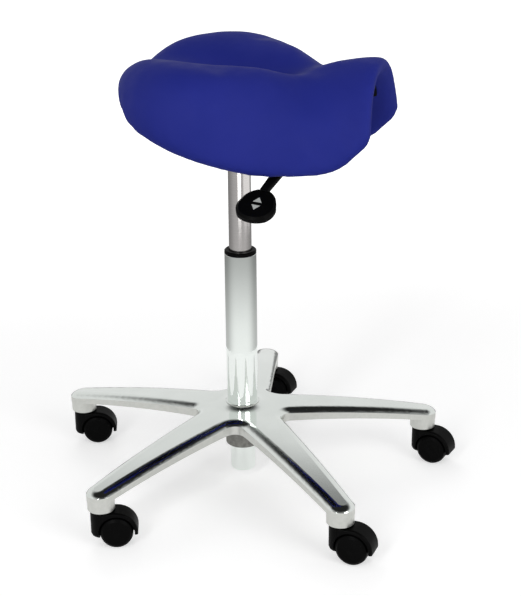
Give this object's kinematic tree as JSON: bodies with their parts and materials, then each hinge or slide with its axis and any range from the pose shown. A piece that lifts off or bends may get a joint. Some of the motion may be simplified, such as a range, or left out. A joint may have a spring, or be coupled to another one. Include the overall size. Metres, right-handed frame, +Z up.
{
  "type": "saddle stool",
  "caption": "Height-adjustable saddle stool: padded blue saddle seat on a gas column with a body lever, over a polished five-arm base with twin-wheel castors.",
  "frame": {"origin": "on the floor under the column's axis", "axes": "+Z up along the column, -Y towards the seat's front, -X towards the sitter's right, where the lever is"},
  "size_m": [0.6147, 0.6476, 0.7018],
  "materials": {
    "polished_aluminium": "polished",
    "chromed_tube": "polished",
    "steel_tube": "brushed",
    "bright_steel": "satin",
    "black_plastic": "satin",
    "wheel_nylon": "satin",
    "black_rubber": "matt",
    "black_paint": "satin",
    "brass_insert": "satin",
    "plywood": "plain",
    "blue_vinyl": "satin"
  },
  "bodies": {
    "base": {"star_base": "polished_aluminium", "column_tube": "chromed_tube", "column_end_plate": "bright_steel", "guide_bush": "black_plastic", "bearing_lower_race": "bright_steel", "bearing_balls": "bright_steel", "stem_socket_1": "black_plastic", "stem_socket_2": "black_plastic", "stem_socket_3": "black_plastic", "stem_socket_4": "black_plastic", "stem_socket_5": "black_plastic"},
    "spindle": {"piston_rod": "bright_steel", "gas_piston": "black_plastic", "bearing_upper_race": "bright_steel", "rod_clip": "bright_steel", "bump_stop": "black_rubber"},
    "seat": {"pressure_tube": "steel_tube", "rod_guide": "black_plastic", "cone_socket": "black_paint", "mechanism_housing": "black_paint", "mechanism_plate": "black_paint", "plate_screws": "bright_steel", "seat_inserts": "brass_insert", "seat_block": "plywood", "seat_shell": "black_plastic", "seat_cushion": "blue_vinyl"},
    "lever": {"lever_shaft": "black_paint", "lever_arm": "black_paint", "lever_paddle": "black_plastic"},
    "valve": {"valve_button": "bright_steel"},
    "castor_1": {"castor_1_stem": "bright_steel", "castor_1_hood": "black_plastic", "castor_1_axle": "bright_steel"},
    "castor_1_wheel_left": {"castor_1_wheel_left": "wheel_nylon"},
    "castor_1_wheel_right": {"castor_1_wheel_right": "wheel_nylon"},
    "castor_2": {"castor_2_stem": "bright_steel", "castor_2_hood": "black_plastic", "castor_2_axle": "bright_steel"},
    "castor_2_wheel_left": {"castor_2_wheel_left": "wheel_nylon"},
    "castor_2_wheel_right": {"castor_2_wheel_right": "wheel_nylon"},
    "castor_3": {"castor_3_stem": "bright_steel", "castor_3_hood": "black_plastic", "castor_3_axle": "bright_steel"},
    "castor_3_wheel_left": {"castor_3_wheel_left": "wheel_nylon"},
    "castor_3_wheel_right": {"castor_3_wheel_right": "wheel_nylon"},
    "castor_4": {"castor_4_stem": "bright_steel", "castor_4_hood": "black_plastic", "castor_4_axle": "bright_steel"},
    "castor_4_wheel_left": {"castor_4_wheel_left": "wheel_nylon"},
    "castor_4_wheel_right": {"castor_4_wheel_right": "wheel_nylon"},
    "castor_5": {"castor_5_stem": "bright_steel", "castor_5_hood": "black_plastic", "castor_5_axle": "bright_steel"},
    "castor_5_wheel_left": {"castor_5_wheel_left": "wheel_nylon"},
    "castor_5_wheel_right": {"castor_5_wheel_right": "wheel_nylon"}
  },
  "joints": [
    {"name": "seat_swivel", "type": "hinge", "parent": "base", "child": "spindle", "pos_m": [0, 0, 0], "axis": [0, 0, 1], "continuous": true},
    {"name": "seat_height", "type": "slide", "parent": "spindle", "child": "seat", "axis": [0, 0, 1], "range_m": [-0.125, 0.05]},
    {"name": "lever_pivot", "type": "hinge", "parent": "seat", "child": "lever", "pos_m": [-0.034, 0, 0.571], "axis": [0, 1, 0], "range_deg": [0, 6], "stiffness_Nm_per_rad": 1.5, "springref_deg": -3.44},
    {"name": "button_press", "type": "slide", "parent": "seat", "child": "valve", "axis": [0, 0, -1], "range_m": [0, 0.0043]},
    {"name": "castor_1_swivel", "type": "hinge", "parent": "base", "child": "castor_1", "pos_m": [0.29983, 0.05017, 0], "axis": [0, 0, 1], "continuous": true},
    {"name": "castor_1_wheel_left_spin", "type": "hinge", "parent": "castor_1", "child": "castor_1_wheel_left", "pos_m": [0.29753, 0.0283, 0.025], "axis": [0.9945, -0.1045, 0], "continuous": true},
    {"name": "castor_1_wheel_right_spin", "type": "hinge", "parent": "castor_1", "child": "castor_1_wheel_right", "pos_m": [0.29753, 0.0283, 0.025], "axis": [0.9945, -0.1045, 0], "continuous": true},
    {"name": "castor_2_swivel", "type": "hinge", "parent": "base", "child": "castor_2", "pos_m": [0.04493, 0.30066, 0], "axis": [0, 0, 1], "continuous": true},
    {"name": "castor_2_wheel_left_spin", "type": "hinge", "parent": "castor_2", "child": "castor_2_wheel_left", "pos_m": [0.05246, 0.27999, 0.025], "axis": [0.9397, 0.342, 0], "continuous": true},
    {"name": "castor_2_wheel_right_spin", "type": "hinge", "parent": "castor_2", "child": "castor_2_wheel_right", "pos_m": [0.05246, 0.27999, 0.025], "axis": [0.9397, 0.342, 0], "continuous": true},
    {"name": "castor_3_swivel", "type": "hinge", "parent": "base", "child": "castor_3", "pos_m": [-0.27206, 0.13564, 0], "axis": [0, 0, 1], "continuous": true},
    {"name": "castor_3_wheel_left_spin", "type": "hinge", "parent": "castor_3", "child": "castor_3_wheel_left", "pos_m": [-0.26454, 0.11497, 0.025], "axis": [0.9397, 0.342, 0], "continuous": true},
    {"name": "castor_3_wheel_right_spin", "type": "hinge", "parent": "castor_3", "child": "castor_3_wheel_right", "pos_m": [-0.26454, 0.11497, 0.025], "axis": [0.9397, 0.342, 0], "continuous": true},
    {"name": "castor_4_swivel", "type": "hinge", "parent": "base", "child": "castor_4", "pos_m": [-0.21308, -0.21683, 0], "axis": [0, 0, 1], "continuous": true},
    {"name": "castor_4_wheel_left_spin", "type": "hinge", "parent": "castor_4", "child": "castor_4_wheel_left", "pos_m": [-0.21499, -0.23874, 0.025], "axis": [0.9962, -0.0872, 0], "continuous": true},
    {"name": "castor_4_wheel_right_spin", "type": "hinge", "parent": "castor_4", "child": "castor_4_wheel_right", "pos_m": [-0.21499, -0.23874, 0.025], "axis": [0.9962, -0.0872, 0], "continuous": true},
    {"name": "castor_5_swivel", "type": "hinge", "parent": "base", "child": "castor_5", "pos_m": [0.14037, -0.26965, 0], "axis": [0, 0, 1], "continuous": true},
    {"name": "castor_5_wheel_left_spin", "type": "hinge", "parent": "castor_5", "child": "castor_5_wheel_left", "pos_m": [0.13617, -0.29125, 0.025], "axis": [0.9816, -0.1908, 0], "continuous": true},
    {"name": "castor_5_wheel_right_spin", "type": "hinge", "parent": "castor_5", "child": "castor_5_wheel_right", "pos_m": [0.13617, -0.29125, 0.025], "axis": [0.9816, -0.1908, 0], "continuous": true}
  ],
  "couplings": [
    {"joint": "button_press", "follows": "lever_pivot", "m_per_rad": 0.04}
  ]
}
